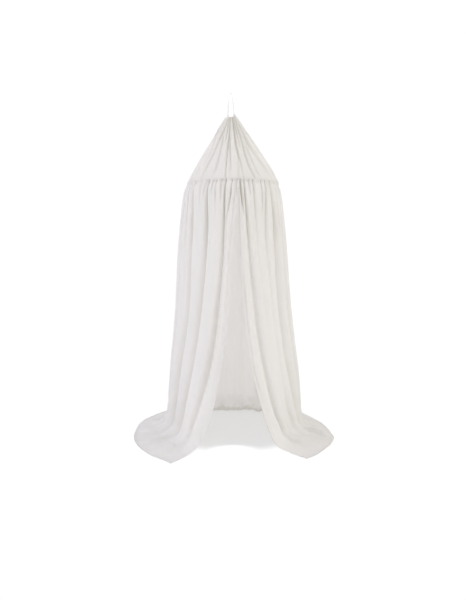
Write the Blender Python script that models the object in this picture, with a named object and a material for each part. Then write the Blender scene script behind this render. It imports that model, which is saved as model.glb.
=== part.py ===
# Hanging net canopy on a hoop: a gathered roof cone, a hoop inside its hem,
# a gathered skirt that opens at the front and pools on the floor, and a flat
# tape loop that it hangs from.  Metres, +Z up, front towards -Y.
# Origin: inside top of the tape loop.  All tables below give heights above
# the floor and directions round the hoop axis in degrees: 0 at the front,
# 90 at the -X side, 180 at the back, 270 at the +X side.
import bpy
import bmesh
from math import sin, cos, pi, radians
from mathutils import Vector

EYE = 2.235          # inside top of the loop above the floor
AXIS_X = 0.0145      # hoop axis, measured from the hanging point
SEAM = 1.647         # seam between roof and skirt
THICK = 0.0016       # sheet thickness of roof and skirt

# ------------------------------------------------------------------ helpers


def smooth_table(xs, ys, x):
    """Monotone-safe cubic through a short table, flat outside it."""
    n = len(xs)
    if x <= xs[0]:
        return ys[0]
    if x >= xs[-1]:
        return ys[-1]
    k = 0
    while x > xs[k + 1]:
        k += 1

    def slope(i):
        if i == 0:
            return (ys[1] - ys[0]) / (xs[1] - xs[0])
        if i == n - 1:
            return (ys[-1] - ys[-2]) / (xs[-1] - xs[-2])
        a = (ys[i] - ys[i - 1]) / (xs[i] - xs[i - 1])
        b = (ys[i + 1] - ys[i]) / (xs[i + 1] - xs[i])
        if a * b <= 0:
            return 0.0
        return 2 * a * b / (a + b)

    h = xs[k + 1] - xs[k]
    t = (x - xs[k]) / h
    m0, m1 = slope(k) * h, slope(k + 1) * h
    a = ys[k + 1] - ys[k]
    return (ys[k] + m0 * t + (3 * a - 2 * m0 - m1) * t * t
            + (m0 + m1 - 2 * a) * t * t * t)


def column(rows, i):
    return [r[i] for r in rows]


def world(x, y, z):
    """Point given from the hoop axis and the floor, in the part's frame."""
    return Vector((x + AXIS_X, y, z - EYE))


def material(name, rgb, rough):
    m = bpy.data.materials.new(name)
    m.use_nodes = True
    b = m.node_tree.nodes["Principled BSDF"]
    b.inputs["Base Color"].default_value = (rgb[0], rgb[1], rgb[2], 1.0)
    b.inputs["Roughness"].default_value = rough
    return m


def add_object(name, verts, faces, mat):
    mesh = bpy.data.meshes.new(name)
    mesh.from_pydata([tuple(v) for v in verts], [], faces)
    bm = bmesh.new()
    bm.from_mesh(mesh)
    bmesh.ops.recalc_face_normals(bm, faces=bm.faces)
    bm.to_mesh(mesh)
    bm.free()
    mesh.materials.append(mat)
    ob = bpy.data.objects.new(name, mesh)
    bpy.context.collection.objects.link(ob)
    return ob


def thick_sheet(name, grid, thick, mat, closed=False, floor_z=None):
    """Closed solid from a grid of mid-surface points [column][row]."""
    nc, nr = len(grid), len(grid[0])
    outer, inner = [], []
    for i in range(nc):
        for j in range(nr):
            if closed:
                a, b = grid[(i - 1) % nc][j], grid[(i + 1) % nc][j]
            else:
                a, b = grid[max(i - 1, 0)][j], grid[min(i + 1, nc - 1)][j]
            c, d = grid[i][max(j - 1, 0)], grid[i][min(j + 1, nr - 1)]
            n = (b - a).cross(d - c)
            n = n.normalized() if n.length > 1e-12 else Vector((0, 0, 1))
            p = grid[i][j]
            o, q = p + n * (thick / 2), p - n * (thick / 2)
            if floor_z is not None:
                low = min(o.z, q.z)
                if low < floor_z:
                    up = Vector((0, 0, floor_z - low))
                    o, q = o + up, q + up
            outer.append(o)
            inner.append(q)
    verts = outer + inner
    m = nc * nr
    faces = []
    last = nc if closed else nc - 1
    for i in range(last):
        k = (i + 1) % nc
        for j in range(nr - 1):
            a, b, c, d = i * nr + j, k * nr + j, k * nr + j + 1, i * nr + j + 1
            faces.append((a, b, c))
            faces.append((a, c, d))
            faces.append((m + a, m + c, m + b))
            faces.append((m + a, m + d, m + c))
        for j in (0, nr - 1):
            a, b = i * nr + j, k * nr + j
            if j == 0:
                faces.append((a, m + a, m + b))
                faces.append((a, m + b, b))
            else:
                faces.append((a, m + b, m + a))
                faces.append((a, b, m + b))
    if not closed:
        for i in (0, nc - 1):
            for j in range(nr - 1):
                a, b = i * nr + j, i * nr + j + 1
                if i == 0:
                    faces.append((a, b, m + b))
                    faces.append((a, m + b, m + a))
                else:
                    faces.append((a, m + b, b))
                    faces.append((a, m + a, m + b))
    return add_object(name, verts, faces, mat)


# ------------------------------------------------------------------- skirt

# how far the skirt has spread from seam radius to floor radius
FLARE = [  # height, spread
    (0.00, 1.00), (0.10, 0.99), (0.20, 0.955), (0.40, 0.845), (0.60, 0.70),
    (0.80, 0.562), (1.00, 0.468), (1.20, 0.380), (1.34, 0.308),
    (1.46, 0.228), (1.54, 0.158), (1.60, 0.085), (1.632, 0.010), (1.647, 0.0),
]
LEAN = [  # height, how far the skirt hangs towards -X of the hoop axis
    (0.00, 0.0), (0.40, 0.001), (0.70, 0.003), (0.90, 0.0055),
    (1.20, 0.007), (1.50, 0.006), (1.60, 0.004), (1.647, 0.0),
]
SEAM_R = 0.3000
# outline at the floor, crest of the folds
FOOT = [  # direction, radius
    (-30, 0.64), (10, 0.63), (21, 0.605), (30, 0.545), (40, 0.490),
    (52, 0.460), (66, 0.452), (83, 0.460), (100, 0.472), (120, 0.478),
    (140, 0.428), (160, 0.372), (180, 0.348), (200, 0.366), (220, 0.422),
    (240, 0.480), (260, 0.486), (277, 0.475), (294, 0.464), (308, 0.466),
    (320, 0.500), (331, 0.560), (339, 0.595), (350, 0.62), (390, 0.64),
]
# folds: direction of each valley at five heights, and its depth there
HEIGHTS = (0.05, 0.20, 0.50, 0.90, 1.30, 1.62)
FOLDS = [  # name, direction at seam, upper, mid, low, foot, floor; depths same
    ("left edge", -6.6, -2.0, 1.2, 7.0, 12.6, 19.2,   0, 0, 0, 0, 0, 0),
    ("L5", -3.0, 1.2, 4.2, 9.6, 15.6, 22.8,   .004, .006, .005, .004, .003, .002),
    ("L4", 8.0, 7.2, 10.2, 15.4, 24.0, 31.0,  .006, .020, .030, .036, .040, .038),
    ("L3", 26.8, 23.2, 26.4, 32.8, 42.0, 49.5,  .008, .026, .036, .044, .046, .044),
    ("L2", 49.8, 46.5, 47.2, 55.0, 61.0, 66.0,  .007, .022, .030, .036, .040, .040),
    ("L1", 69.7, 69.8, 72.0, 76.0, 81.0, 84.0,  .006, .018, .020, .022, .026, .026),
    ("B1", 88.0, 88.0, 90.0, 94.0, 98.0, 101.0,  .006, .020, .030, .034, .038, .040),
    ("B2", 107.0, 106.5, 108.0, 111.0, 115.0, 117.0,  .008, .024, .034, .042, .044, .042),
    ("B3", 127.0, 126.0, 127.0, 129.0, 132.0, 133.0,  .007, .020, .030, .034, .036, .038),
    ("B4", 145.0, 146.5, 148.0, 149.0, 150.0, 151.0,  .006, .022, .030, .036, .038, .036),
    ("B5", 168.0, 169.0, 170.0, 171.0, 171.5, 172.0,  .007, .014, .018, .022, .028, .034),
    ("B6", 190.0, 191.0, 191.5, 192.0, 192.5, 193.0,  .006, .014, .018, .022, .028, .032),
    ("B7", 208.0, 209.0, 211.0, 213.0, 214.0, 215.0,  .008, .024, .034, .038, .038, .036),
    ("B8", 229.0, 229.5, 230.0, 231.0, 232.0, 232.0,  .007, .020, .030, .038, .040, .040),
    ("B9", 249.0, 249.0, 249.0, 249.0, 248.0, 247.0,  .006, .022, .032, .036, .038, .040),
    ("B10", 268.0, 268.0, 267.0, 265.0, 263.0, 261.0,  .007, .020, .028, .032, .036, .036),
    ("R5", 289.0, 289.0, 287.0, 283.0, 277.0, 274.0,  .006, .016, .022, .028, .032, .034),
    ("R4", 309.7, 307.2, 307.6, 303.5, 292.5, 286.0,  .007, .026, .032, .036, .040, .038),
    ("R3", 319.0, 324.5, 321.5, 317.0, 309.0, 302.0,  .006, .014, .012, .012, .014, .016),
    ("R2", 336.5, 337.0, 333.5, 328.5, 319.5, 312.0,  .006, .010, .007, .005, .007, .010),
    ("R1", 347.0, 345.4, 342.2, 338.2, 330.4, 322.4,  .007, .022, .030, .036, .038, .036),
    ("right edge", 352.8, 352.7, 352.0, 348.2, 341.8, 336.5,   0, 0, 0, 0, 0, 0),
]
# crest of the cloth between one fold and the next, in or out of the outline
CRESTS = (0, 0, -.002, -.004, 0, -.003, 0, -.004, 0, -.005, 0, -.002, -.004,
          0, -.003, 0, -.004, 0, -.003, -.004, 0)
# hem on the floor
HEM = [  # direction, radius
    (25.0, 0.834), (31.0, 0.806), (37.0, 0.786), (44.3, 0.768), (53.4, 0.742),
    (64.2, 0.708), (77.7, 0.666), (95.7, 0.638), (110.3, 0.608),
    (122.2, 0.592), (140.0, 0.556), (160.0, 0.510), (180.0, 0.490),
    (200.0, 0.504), (220.0, 0.546), (237.0, 0.580), (245.3, 0.575),
    (256.5, 0.583), (264.0, 0.603), (276.8, 0.640), (287.7, 0.679),
    (295.4, 0.719), (306.3, 0.747), (315.7, 0.768), (322.5, 0.792),
    (327.9, 0.807),
]
# creases lying on the floor: place along the hem, half width along the hem,
# how far from hem (1) to foot (0) they run, height
LYING = [  # along, width, start, end, height
    (0.060, 0.020, 0.0, 0.9, 0.010),
    (0.120, 0.025, 0.0, 1.0, 0.008),
    (0.190, 0.022, 0.1, 0.9, 0.012),
    (0.300, 0.020, 0.0, 0.9, 0.010),
    (0.400, 0.024, 0.0, 1.0, 0.014),
    (0.500, 0.020, 0.0, 0.9, 0.016),
    (0.600, 0.022, 0.0, 0.9, 0.012),
    (0.700, 0.020, 0.0, 1.0, 0.010),
    (0.848, 0.030, 0.0, 1.2, 0.030),
    (0.935, 0.025, 0.0, 0.9, 0.008),
]
BEND = 0.13          # height where the cloth starts to turn onto the floor
FOLD_POWER = 1.25    # 1 gives sharp valleys, 2 even waves

# places of columns inside one fold, 0 and 1 are the valleys
STEPS = (0.0, 0.15, 0.32, 0.5, 0.68, 0.85)
LEVELS = (1.647, 1.622, 1.57, 1.46, 1.28, 1.05, 0.80, 0.55, 0.32, 0.13)
TURN = (0.36, 0.70, 1.0)
LIE = (0.5, 1.0)


def fold_columns():
    out = []
    for k in range(len(FOLDS) - 1):
        for s in STEPS:
            out.append((k, s))
    out.append((len(FOLDS) - 2, 1.0))
    return out


def fold_value(k, first, z):
    row = FOLDS[k]
    vals = [row[first + 5 - i] for i in range(6)]
    return smooth_table(HEIGHTS, vals, z)


def skirt_direction(k, s, z):
    a, b = fold_value(k, 1, z), fold_value(k + 1, 1, z)
    return a + (b - a) * s


def skirt_groove(k, s, z):
    last = len(FOLDS) - 2
    if k == 0:
        w = 0.5 + 0.5 * s
    elif k == last:
        w = 0.5 * s
    else:
        w = s
    e = s * s * (3 - 2 * s)
    depth = fold_value(k, 7, z) * (1 - e) + fold_value(k + 1, 7, z) * e
    shape = 1 - abs(sin(pi * w)) ** FOLD_POWER
    return depth * shape - CRESTS[k] * sin(pi * s) ** 2


def skirt_hang(k, s, z):
    d = skirt_direction(k, s, z)
    foot = smooth_table(column(FOOT, 0), column(FOOT, 1), d)
    r = SEAM_R + (foot - SEAM_R) * smooth_table(
        column(FLARE, 0), column(FLARE, 1), z)
    r -= skirt_groove(k, s, z)
    a = radians(d)
    lean = smooth_table(column(LEAN, 0), column(LEAN, 1), z)
    return Vector((-lean - r * sin(a), -r * cos(a), z))


def hem_curve(count=400):
    pts = []
    for i in range(count + 1):
        d = HEM[0][0] + (HEM[-1][0] - HEM[0][0]) * i / count
        r = smooth_table(column(HEM, 0), column(HEM, 1), d)
        a = radians(d)
        pts.append(Vector((-r * sin(a), -r * cos(a), 0)))
    run = [0.0]
    for i in range(count):
        run.append(run[-1] + (pts[i + 1] - pts[i]).length)
    return pts, run


def hem_point(curve, u):
    pts, run = curve
    want = u * run[-1]
    lo, hi = 0, len(run) - 1
    while hi - lo > 1:
        mid = (lo + hi) // 2
        if run[mid] <= want:
            lo = mid
        else:
            hi = mid
    t = (want - run[lo]) / max(run[hi] - run[lo], 1e-9)
    return pts[lo].lerp(pts[hi], t)


def cloth_share(cols):
    """Share of the cloth's width at each column, from its folded length."""
    run = [0.0]
    for i in range(1, len(cols)):
        d = 0.0
        for z in (0.35, 0.90):
            d += (skirt_hang(*cols[i], z) - skirt_hang(*cols[i - 1], z)).length
        run.append(run[-1] + d)
    return [r / run[-1] for r in run]


def lying_height(u, t):
    h = 0.0
    for along, width, start, end, height in LYING:
        x = abs(u - along) / width
        if x < 1 and t > start:
            fade = 1.0
            if t > end - 0.3:
                fade = max(0.0, min(1.0, (end - t) / 0.3))
            rise = min(1.0, (t - start) / 0.35)
            h += height * (1 - x * x) ** 2 * fade * rise
    return h


def skirt_path(k, s, u, curve):
    pts = [skirt_hang(k, s, z) for z in LEVELS]
    foot = skirt_hang(k, s, 0.0)
    hem = hem_point(curve, u)
    reach = (hem - foot).length
    share = min(0.12 / max(reach, 1e-6), 0.6)
    deep = 0.040 - min(skirt_groove(k, s, 0.05), 0.040)
    start = pts[-1]
    z0 = 0.0012

    def on_floor(t):
        p = foot.lerp(hem, t)
        p.z = z0 + 0.55 * deep * (1 - t) ** 1.6 + lying_height(u, t)
        return p

    end = on_floor(share)
    corner = foot.copy()
    corner.z = 0.30 * deep + 0.5 * lying_height(u, share)
    for t in TURN:
        pts.append(start * (1 - t) ** 2 + corner * (2 * t * (1 - t))
                   + end * t ** 2)
    for t in LIE:
        pts.append(on_floor(share + (1 - share) * t))
    return pts


def build_skirt():
    cols = fold_columns()
    share = cloth_share(cols)
    curve = hem_curve()
    grid = []
    for (k, s), u in zip(cols, share):
        grid.append([world(*p) for p in skirt_path(k, s, u, curve)])
    return thick_sheet("skirt", grid, THICK,
                       material("skirt_cotton", (0.86, 0.84, 0.80), 0.9),
                       floor_z=-EYE + 0.0004)


# -------------------------------------------------------------------- roof

ROOF = [  # height, radius, axis shift sideways
    (1.6405, 0.3050, 0.000), (1.649, 0.3048, 0.000), (1.661, 0.2990, 0.001),
    (1.681, 0.2885, 0.001), (1.721, 0.2675, 0.002), (1.761, 0.2440, 0.001),
    (1.800, 0.2200, -0.001), (1.840, 0.1945, -0.002), (1.880, 0.1690, -0.003),
    (1.919, 0.1435, -0.004), (1.958, 0.1180, -0.006), (1.998, 0.0935, -0.009),
    (2.037, 0.0690, -0.010), (2.056, 0.0560, -0.0105), (2.076, 0.0415, -0.011),
]
GATHER_Z = (1.645, 1.72, 1.80, 1.90, 2.00, 2.076)
GATHERS = [  # direction at hem, low, mid, upper, top, neck; depths same
    (10.0, 10.4, 11.0, 10.4, 10.0, 8.0,   .000, .004, .009, .012, .010, .006),
    (26.2, 27.0, 27.8, 26.5, 25.0, 22.0,   .000, .004, .008, .012, .012, .006),
    (45.0, 47.0, 50.0, 54.0, 52.0, 45.0,   .000, .006, .010, .014, .012, .006),
    (72.0, 72.0, 72.0, 74.0, 76.0, 70.0,   .000, .002, .006, .010, .010, .006),
    (93.0, 93.0, 94.0, 95.0, 96.0, 95.0,   .000, .003, .008, .012, .012, .006),
    (116.0, 116.0, 117.0, 118.0, 118.0, 118.0,   .000, .004, .009, .013, .012, .006),
    (139.0, 139.0, 139.0, 140.0, 140.0, 140.0,   .000, .002, .007, .011, .011, .006),
    (161.0, 161.0, 160.0, 160.0, 161.0, 162.0,   .000, .004, .010, .013, .012, .006),
    (184.0, 184.0, 183.0, 183.0, 183.0, 184.0,   .000, .003, .008, .012, .011, .006),
    (206.0, 206.0, 206.0, 205.0, 205.0, 206.0,   .000, .004, .009, .012, .012, .006),
    (229.0, 229.0, 228.0, 227.0, 227.0, 227.0,   .000, .002, .007, .011, .011, .006),
    (251.0, 251.0, 250.0, 248.0, 246.0, 246.0,   .000, .004, .009, .012, .011, .004),
    (276.0, 275.0, 274.0, 272.0, 270.0, 270.0,   .000, .002, .006, .009, .008, .002),
    (300.0, 300.5, 301.0, 304.0, 308.0, 306.0,   .000, .004, .010, .013, .012, .004),
    (330.4, 332.0, 335.0, 340.0, 338.0, 332.0,   .000, .006, .009, .012, .011, .006),
    (350.0, 350.0, 350.0, 350.0, 347.0, 349.0,   .000, .003, .008, .010, .010, .006),
]
PEAK_AT = 270.0       # small pulled-up point of the neck, where the tape holds
PEAK_UP = 0.029
PEAK_WIDE = 40.0
PEAK_IN = 0.0215
ROOF_LEVELS = (0.0, 0.018, 0.06, 0.16, 0.34, 0.54, 0.74, 0.88, 1.0)
ROOF_STEPS = (0.0, 0.22, 0.5, 0.78)


def roof_point(k, s, t):
    n = len(GATHERS)
    lo, hi = GATHERS[k], GATHERS[(k + 1) % n]
    wrap = 360.0 if k == n - 1 else 0.0
    z = ROOF[0][0] + (ROOF[-1][0] - ROOF[0][0]) * t

    def at(row, first):
        return smooth_table(GATHER_Z, [row[first + i] for i in range(6)], z)

    a, b = at(lo, 0), at(hi, 0) + wrap
    d = a + (b - a) * s
    e = s * s * (3 - 2 * s)
    depth = at(lo, 6) * (1 - e) + at(hi, 6) * e
    r = smooth_table(column(ROOF, 0), column(ROOF, 1), z)
    shift = smooth_table(column(ROOF, 0), column(ROOF, 2), z)
    off = (d - PEAK_AT + 180.0) % 360.0 - 180.0
    near = max(0.0, 1 - (off / PEAK_WIDE) ** 2) ** 2
    top = max(0.0, (t - 0.80) / 0.20) ** 2
    depth *= 1 - 0.8 * near * top
    r -= depth * (1 - abs(sin(pi * s)) ** 1.3)
    r -= PEAK_IN * near * top
    a = radians(d)
    return Vector((shift - r * sin(a), -r * cos(a), z + PEAK_UP * near * top))


def build_roof():
    grid = []
    for k in range(len(GATHERS)):
        for s in ROOF_STEPS:
            grid.append([world(*roof_point(k, s, t)) for t in ROOF_LEVELS])
    return thick_sheet("roof", grid, THICK,
                       material("roof_cotton", (0.87, 0.85, 0.81), 0.9),
                       closed=True)


# -------------------------------------------------------------------- hoop

HOOP_R = 0.2800
HOOP_TUBE = 0.0050


def build_hoop(n=56, m=8):
    verts, faces = [], []
    for i in range(n):
        a = 2 * pi * i / n
        for j in range(m):
            b = 2 * pi * (j + 0.5) / m
            r = HOOP_R + HOOP_TUBE * cos(b)
            verts.append(world(r * cos(a), r * sin(a),
                               SEAM - 0.004 + HOOP_TUBE * sin(b)))
    for i in range(n):
        k = (i + 1) % n
        for j in range(m):
            q = (j + 1) % m
            faces.append((i * m + j, k * m + j, k * m + q, i * m + q))
    return add_object("hoop", verts, faces,
                      material("hoop_coat", (0.84, 0.83, 0.80), 0.45))


# ------------------------------------------------------------ hanging loop

TAPE_W = 0.0100
TAPE_T = 0.0012
# middle line of the tape from its left end over the top to its right end,
# from the hanging point; turn is the angle of its flat side, 0 facing the
# front, 90 facing sideways
TAPE = [  # x, y, z, turn
    (-0.0200, 0.004, -0.176, 0), (-0.0198, 0.003, -0.150, 6),
    (-0.0192, 0.002, -0.124, 18), (-0.0180, 0.001, -0.096, 38),
    (-0.0160, 0.000, -0.068, 62), (-0.0134, 0.000, -0.042, 82),
    (-0.0104, 0.000, -0.020, 90), (-0.0074, 0.000, -0.0070, 90),
    (-0.0040, 0.000, -0.0008, 90), (0.0000, 0.000, 0.0006, 90),
    (0.0040, 0.000, -0.0008, 90), (0.0074, 0.000, -0.0070, 90),
    (0.0104, 0.000, -0.020, 91), (0.0134, 0.000, -0.042, 93),
    (0.0160, 0.000, -0.068, 94), (0.0182, 0.000, -0.096, 93),
    (0.0192, 0.000, -0.124, 91), (0.0194, 0.000, -0.150, 90),
    (0.0186, 0.000, -0.172, 88),
]
TAPE_PARTS = 4        # sections between one row of the table and the next


def tape_section(t):
    steps = list(range(len(TAPE)))
    return [smooth_table(steps, column(TAPE, i), t) for i in range(4)]


def build_loop():
    n = (len(TAPE) - 1) * TAPE_PARTS + 1
    rows = [tape_section(i / TAPE_PARTS) for i in range(n)]
    pts = [Vector(r[:3]) for r in rows]
    verts, faces = [], []
    for i, row in enumerate(rows):
        run = (pts[min(i + 1, n - 1)] - pts[max(i - 1, 0)]).normalized()
        a = radians(row[3])
        wide = Vector((cos(a), sin(a), 0.0))
        wide = (wide - run * wide.dot(run)).normalized()
        flat = run.cross(wide).normalized()
        for sw, st in ((-1, -1), (1, -1), (1, 1), (-1, 1)):
            verts.append(pts[i] + wide * (sw * TAPE_W / 2)
                         + flat * (st * TAPE_T / 2))
    # both flat sides are split along the same diagonal, so that the tape
    # keeps its thickness where it turns
    for i in range(n - 1):
        for j in range(4):
            k = (j + 1) % 4
            a, b = i * 4 + j, i * 4 + k
            if j == 2:
                faces.append((a, b, a + 4))
                faces.append((b, b + 4, a + 4))
            else:
                faces.append((a, b, b + 4))
                faces.append((a, b + 4, a + 4))
    faces.append((0, 2, 1))
    faces.append((0, 3, 2))
    e = (n - 1) * 4
    faces.append((e, e + 1, e + 2))
    faces.append((e, e + 2, e + 3))
    return add_object("hanging_loop", verts, faces,
                      material("tape_cotton", (0.90, 0.89, 0.86), 0.85))


for old in list(bpy.data.objects):
    bpy.data.objects.remove(old, do_unlink=True)

build_roof()
build_skirt()
build_hoop()
build_loop()
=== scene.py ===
# Looks of the hanging canopy: thin gathered cloth over a hoop, a tape loop,
# soft daylight, pale floor.  Heights in the tables are above the floor,
# directions are degrees round the hoop axis: 0 front, 90 at -X, 180 back.
import bpy
import math
import numpy as np
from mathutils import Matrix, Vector

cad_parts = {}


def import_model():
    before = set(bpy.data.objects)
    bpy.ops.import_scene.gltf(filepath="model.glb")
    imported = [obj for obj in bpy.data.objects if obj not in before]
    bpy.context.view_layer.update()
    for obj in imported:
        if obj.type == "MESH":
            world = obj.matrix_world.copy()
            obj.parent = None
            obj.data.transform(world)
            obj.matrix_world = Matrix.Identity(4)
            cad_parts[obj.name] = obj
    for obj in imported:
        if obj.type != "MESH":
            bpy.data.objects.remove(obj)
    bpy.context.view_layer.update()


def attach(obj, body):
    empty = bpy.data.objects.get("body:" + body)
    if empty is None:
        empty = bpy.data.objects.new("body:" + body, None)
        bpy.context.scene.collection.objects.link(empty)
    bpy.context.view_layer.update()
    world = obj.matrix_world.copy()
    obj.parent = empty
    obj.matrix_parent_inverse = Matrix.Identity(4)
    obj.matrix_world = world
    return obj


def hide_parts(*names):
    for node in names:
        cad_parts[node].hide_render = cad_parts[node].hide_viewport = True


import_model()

EYE = 2.235
AXIS_X = 0.0145
SEAM = 1.647
FLOOR = -EYE

# ---------------------------------------------------------------- helpers


def mono(xs, ys, x):
    """Monotone cubic through a short table, flat outside it."""
    xs, ys = np.asarray(xs, float), np.asarray(ys, float)
    x = np.clip(np.asarray(x, float), xs[0], xs[-1])
    h, s = np.diff(xs), np.diff(ys) / np.diff(xs)
    m = np.zeros(len(xs))
    m[0], m[-1] = s[0], s[-1]
    prod = s[:-1] * s[1:]
    ok = prod > 0
    m[1:-1] = np.where(ok, 2 * prod / np.where(ok, s[:-1] + s[1:], 1.0), 0.0)
    k = np.clip(np.searchsorted(xs, x, side="right") - 1, 0, len(xs) - 2)
    t = (x - xs[k]) / h[k]
    m0, m1 = m[k] * h[k], m[k + 1] * h[k]
    a = ys[k + 1] - ys[k]
    return (ys[k] + m0 * t + (3 * a - 2 * m0 - m1) * t * t
            + (m0 + m1 - 2 * a) * t ** 3)


def col(rows, i):
    return [r[i] for r in rows]


def smooth(a, b, x):
    t = np.clip((np.asarray(x, float) - a) / (b - a), 0, 1)
    return t * t * (3 - 2 * t)


def noise(x, y, seed):
    """Smooth gradient noise, about -0.7 to 0.7, the same every run."""
    x, y = np.broadcast_arrays(np.asarray(x, float), np.asarray(y, float))
    xi, yi = np.floor(x).astype(np.int64), np.floor(y).astype(np.int64)
    fx, fy = x - xi, y - yi

    def corner(dx, dy):
        h = ((xi + dx) * 374761393 + (yi + dy) * 668265263
             + seed * 974634777) & 0xFFFFFFFF
        h = ((h ^ (h >> 13)) * 1274126177) & 0xFFFFFFFF
        h = (h ^ (h >> 16)) & 0xFFFFFFFF
        a = h / 4294967296.0 * 2 * math.pi
        return np.cos(a) * (fx - dx) + np.sin(a) * (fy - dy)

    u = fx ** 3 * (fx * (fx * 6 - 15) + 10)
    v = fy ** 3 * (fy * (fy * 6 - 15) + 10)
    a = corner(0, 0) * (1 - u) + corner(1, 0) * u
    b = corner(0, 1) * (1 - u) + corner(1, 1) * u
    return a * (1 - v) + b * v


def valley(x, power):
    """Section of a fold's valley: 1 in its bottom, 0 from x = 1 on, round
    shoulders and a bottom that gets narrower as power gets smaller."""
    x = np.sqrt(np.square(x) + 0.0036) - 0.06
    return 1 - np.sin(0.5 * np.pi * np.clip(x, 0, 1)) ** power


def grid_normals(P, closed=False):
    if closed:
        du = np.roll(P, -1, axis=0) - np.roll(P, 1, axis=0)
    else:
        du = np.gradient(P, axis=0)
    dv = np.gradient(P, axis=1)
    n = np.cross(du, dv)
    size = np.linalg.norm(n, axis=-1, keepdims=True)
    return n / np.maximum(size, 1e-12)


class Sheet:
    """A grid of points with uv in metres, plus strips folded from its edges."""

    def __init__(self):
        self.v, self.uv, self.edge, self.deep, self.f = [], [], [], [], []
        self.n = 0

    def add(self, P, U, V, E, deep=0.0):
        c, r = P.shape[:2]
        ids = np.arange(c * r).reshape(c, r) + self.n
        self.v.append(P.reshape(-1, 3))
        self.uv.append(np.stack([U, V], -1).reshape(-1, 2))
        self.edge.append(E.reshape(-1))
        self.deep.append(np.broadcast_to(deep, (c, r)).reshape(-1))
        self.n += c * r
        return ids

    def quads(self, ids, flip=False, wrap=False):
        a = ids if not wrap else np.vstack([ids, ids[:1]])
        q = np.stack([a[:-1, :-1], a[1:, :-1], a[1:, 1:], a[:-1, 1:]], -1)
        q = q.reshape(-1, 4)
        self.f.append(q[:, ::-1] if flip else q)

    def build(self, name, mat):
        v = np.concatenate(self.v)
        uv = np.concatenate(self.uv)
        e = np.concatenate(self.edge)
        f = np.concatenate(self.f)
        me = bpy.data.meshes.new(name)
        me.vertices.add(len(v))
        me.vertices.foreach_set("co", v.astype(np.float32).ravel())
        me.loops.add(len(f) * 4)
        me.loops.foreach_set("vertex_index", f.astype(np.int32).ravel())
        me.polygons.add(len(f))
        me.polygons.foreach_set(
            "loop_start", (np.arange(len(f)) * 4).astype(np.int32))
        layer = me.uv_layers.new(name="cloth")
        layer.data.foreach_set(
            "uv", uv[f.ravel()].astype(np.float32).ravel())
        # the fold attribute carries how much painted fold shade each point gets
        for word, value in (("hem", e), ("fold", np.concatenate(self.deep))):
            at = me.attributes.new(word, "FLOAT", "POINT")
            at.data.foreach_set("value", value.astype(np.float32))
        me.update(calc_edges=True)
        me.validate()
        me.shade_smooth()
        me.materials.append(mat)
        ob = bpy.data.objects.new(name, me)
        bpy.context.scene.collection.objects.link(ob)
        return ob


def world(P):
    Q = np.array(P, float)
    Q[..., 0] += AXIS_X
    Q[..., 2] -= EYE
    return Q


# ----------------------------------------------------------- skirt tables

# share of the way from the hoop's radius to the foot's, by height
FLARE = [
    (0.00, 1.00), (0.10, 0.99), (0.20, 0.955), (0.40, 0.845), (0.60, 0.70),
    (0.80, 0.562), (1.00, 0.468), (1.20, 0.380), (1.34, 0.308),
    (1.46, 0.228), (1.54, 0.158), (1.60, 0.085), (1.632, 0.010), (1.647, 0.0),
]
LEAN = [
    (0.00, 0.0), (0.40, 0.001), (0.70, 0.003), (0.90, 0.0055),
    (1.20, 0.007), (1.50, 0.006), (1.60, 0.004), (1.647, 0.0),
]
SEAM_R = 0.3040
# the skirt's top goes up behind the roof's turned edge: height, radius
TAB = [(1.6465, 0.3040), (1.6495, 0.3028), (1.6525, 0.3014)]
TOP = 1.6525
# radius of the crests at the floor, by direction
FOOT = [
    (-30, 0.64), (10, 0.63), (21, 0.605), (30, 0.545), (40, 0.490),
    (52, 0.460), (66, 0.452), (83, 0.460), (100, 0.472), (120, 0.478),
    (140, 0.428), (160, 0.372), (180, 0.348), (200, 0.366), (220, 0.422),
    (240, 0.480), (260, 0.486), (277, 0.475), (294, 0.464), (308, 0.466),
    (320, 0.500), (331, 0.560), (339, 0.595), (350, 0.62), (390, 0.64),
]
HEIGHTS = (0.05, 0.20, 0.50, 0.90, 1.30, 1.62)
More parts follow.
